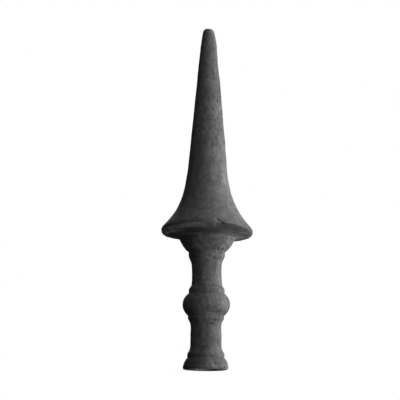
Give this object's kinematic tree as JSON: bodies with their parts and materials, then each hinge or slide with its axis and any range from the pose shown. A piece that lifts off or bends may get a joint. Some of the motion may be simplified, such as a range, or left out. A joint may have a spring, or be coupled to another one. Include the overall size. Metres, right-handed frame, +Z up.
{
  "type": "fence finial",
  "caption": "Cast iron fence finial: a blunt round spire flaring to a skirt, on a cup and a turned stem with a ball between collars, standing on a bell foot with a blind socket.",
  "frame": {"origin": "centre of the foot's underside, which the finial stands on", "axes": "+Z up along the finial's axis to the tip; -Y is the side that the picture shows, +X is to its right"},
  "size_m": [0.0792, 0.0792, 0.3035],
  "materials": {
    "iron": "old, dull dark iron, pitted and worn"
  },
  "bodies": {
    "root": {"finial": "iron"}
  },
  "joints": []
}
